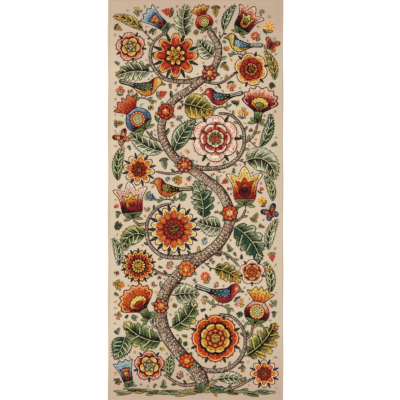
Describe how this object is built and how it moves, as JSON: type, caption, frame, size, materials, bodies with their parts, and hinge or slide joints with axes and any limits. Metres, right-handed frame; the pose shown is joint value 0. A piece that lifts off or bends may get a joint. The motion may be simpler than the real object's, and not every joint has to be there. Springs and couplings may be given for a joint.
{
  "type": "crewel embroidery panel",
  "caption": "Long linen panel worked all over in coloured wool with a curving flowering stem, round and side-view blossoms, leaves, songbirds and butterflies; lies flat or hangs.",
  "frame": {"origin": "centre of the cloth's underside, on the surface it lies on", "axes": "+Z out of the worked face, +Y towards the top of the design along the panel's length, +X to the right across its width"},
  "size_m": [0.8118, 1.8716, 0.0029],
  "materials": {
    "linen": "matt plain woven linen, undyed",
    "wool_brown": "matt twisted wool yarn, brown",
    "wool_red": "matt twisted wool yarn, orange red",
    "wool_gold": "matt twisted wool yarn, gold",
    "wool_coral": "matt twisted wool yarn, coral pink",
    "wool_crimson": "matt twisted wool yarn, crimson",
    "wool_blue": "matt twisted wool yarn, slate blue",
    "wool_green": "matt twisted wool yarn, leaf green",
    "wool_sage": "matt twisted wool yarn, sage green"
  },
  "bodies": {
    "root": {"linen_ground": "linen", "stem": "wool_brown", "rose_low_right": "wool_red", "aster_mid_left": "wool_gold", "rose_mid_right": "wool_coral", "star_top_left": "wool_red", "pomegranate_low": "wool_crimson", "tulip_left": "wool_coral", "carnation_right": "wool_crimson", "pomegranate_top": "wool_red", "carnation_left": "wool_coral", "tulip_right": "wool_gold", "pomegranate_left": "wool_blue", "rose_right": "wool_coral", "aster_left": "wool_red", "star_left": "wool_gold", "rose_top_right": "wool_gold", "bell_top": "wool_blue", "rose_low_left": "wool_crimson", "star_low_right": "wool_gold", "tulip_top": "wool_crimson", "bell_low": "wool_blue", "rose_top_left": "wool_crimson", "leaf_01": "wool_green", "leaf_02": "wool_sage", "leaf_03": "wool_sage", "leaf_04": "wool_green", "leaf_05": "wool_green", "leaf_06": "wool_green", "leaf_07": "wool_green", "leaf_08": "wool_sage", "leaf_10": "wool_sage", "leaf_11": "wool_sage", "leaf_13": "wool_green", "leaf_14": "wool_sage", "leaf_15": "wool_sage", "leaf_16": "wool_green", "leaf_17": "wool_sage", "leaf_18": "wool_sage", "leaf_19": "wool_sage", "leaf_20": "wool_green", "leaf_21": "wool_green", "leaf_22": "wool_sage", "leaf_23": "wool_sage", "leaf_24": "wool_sage", "leaf_25": "wool_green", "leaf_26": "wool_green", "leaf_27": "wool_green", "leaf_28": "wool_green", "leaf_29": "wool_sage", "leaf_30": "wool_sage", "bird_low": "wool_blue", "bird_mid": "wool_brown", "bird_high": "wool_blue", "bird_left": "wool_crimson", "bird_top": "wool_green", "butterfly_top": "wool_gold", "butterfly_left": "wool_coral", "butterfly_right": "wool_blue"}
  },
  "joints": []
}
